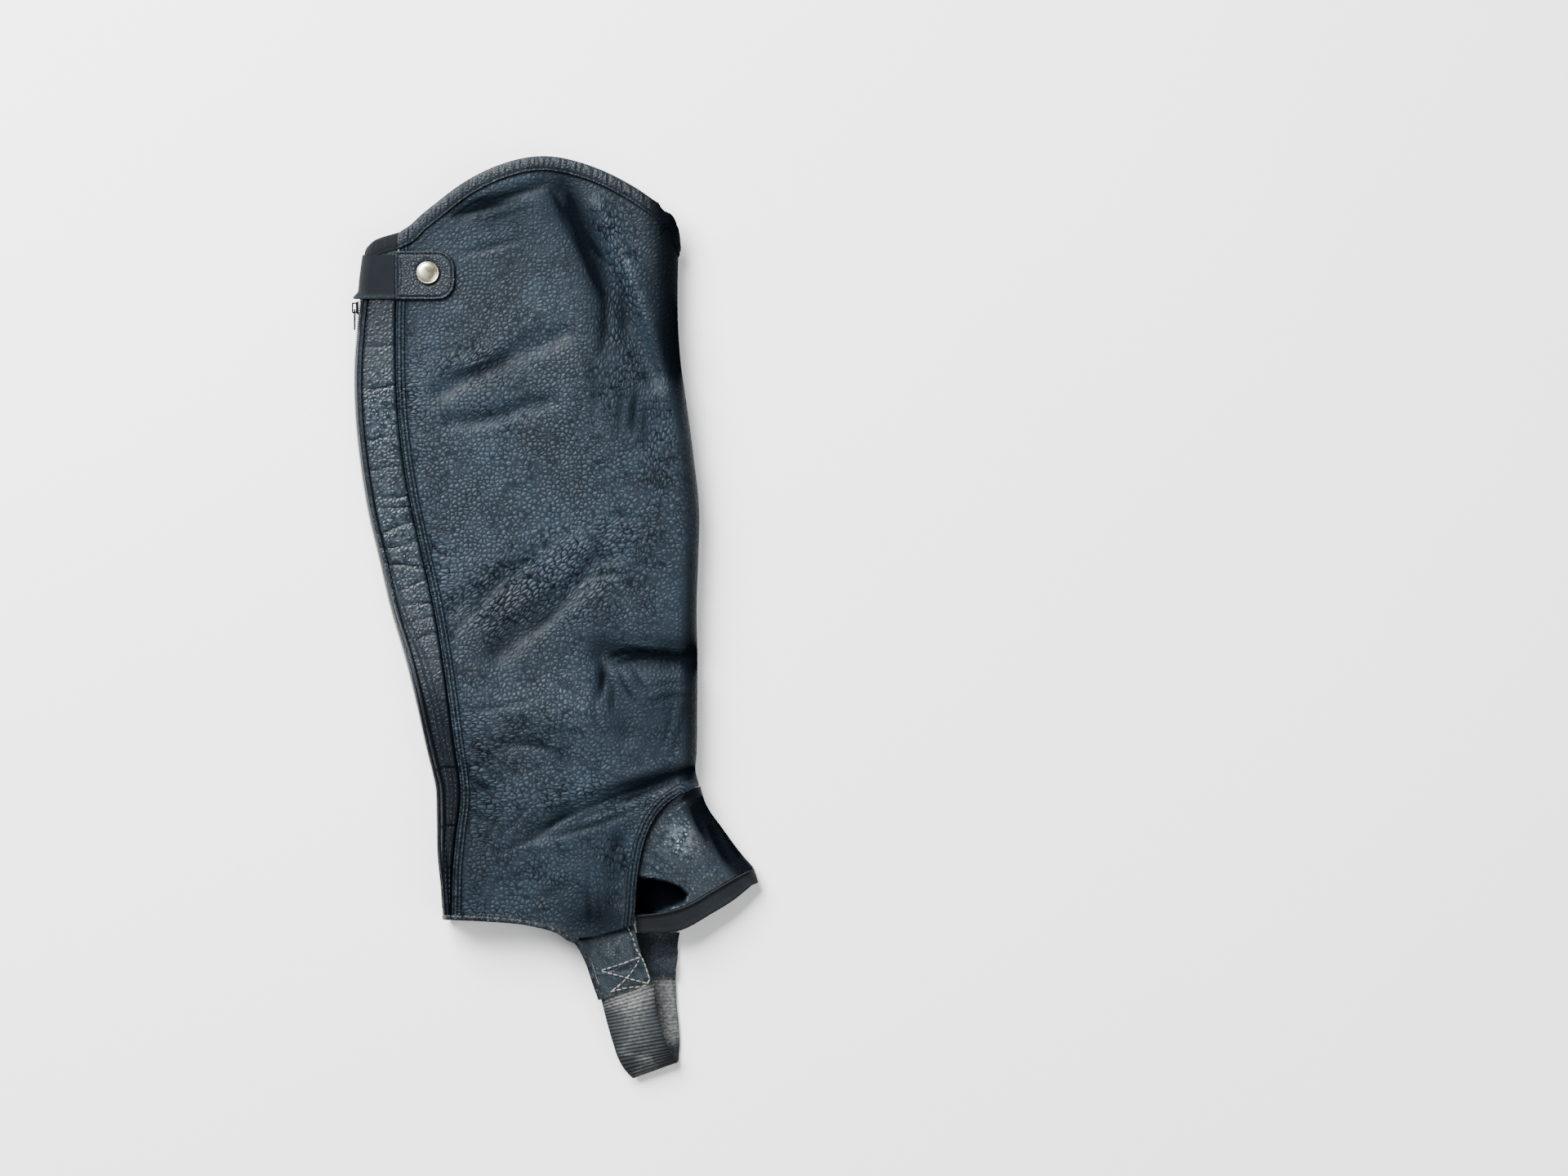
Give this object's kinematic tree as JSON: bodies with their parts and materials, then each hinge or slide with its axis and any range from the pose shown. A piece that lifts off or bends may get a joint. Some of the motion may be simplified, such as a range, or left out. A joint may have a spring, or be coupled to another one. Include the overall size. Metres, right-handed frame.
{
  "type": "half chap",
  "caption": "Leather half chap laid flat, zipped up its back edge, with a snap tab and an elastic stirrup loop.",
  "frame": {"origin": "under the middle of the laid-out chap, on the surface it lies on", "axes": "+Y up the leg to the top edge, +X towards the toe, +Z from the surface up through the outer face"},
  "size_m": [0.2387, 0.5413, 0.0251],
  "materials": {
    "pebbled_leather": "pebbled, soft sheen",
    "smooth_leather": "smooth, half gloss, scuffed",
    "rough_leather": "flesh side, matt",
    "dark_leather": "thin folded edge",
    "dark_webbing": "woven elastic, matt",
    "dark_elastic": "close woven elastic, matt",
    "ribbed_elastic": "cross-ribbed elastic, worn grey",
    "zip_tape": "woven tape with a coil",
    "zip_metal": "worn nickel",
    "cap_metal": "pale satin brass"
  },
  "bodies": {
    "half_chap": {"body_panel": "pebbled_leather", "top_binding": "pebbled_leather", "back_strip": "smooth_leather", "instep_gusset": "smooth_leather", "stirrup_tab_outer": "smooth_leather", "snap_tab": "pebbled_leather", "stirrup_tab_inner": "rough_leather", "hem_binding_outer": "dark_leather", "hem_binding_inner": "dark_leather", "strip_binding": "dark_webbing", "gusset_binding": "dark_webbing", "snap_elastic": "dark_elastic", "stirrup_elastic": "ribbed_elastic", "zip_chain": "zip_tape", "zip_slider": "zip_metal", "snap_cap": "cap_metal"},
    "pull": {"zip_pull": "zip_metal"}
  },
  "joints": [
    {"name": "pull_hinge", "type": "hinge", "parent": "half_chap", "child": "pull", "pos_m": [-0.11844, 0.1806, 0.0055], "axis": [0, 0, -1], "range_deg": [0, 90]}
  ]
}
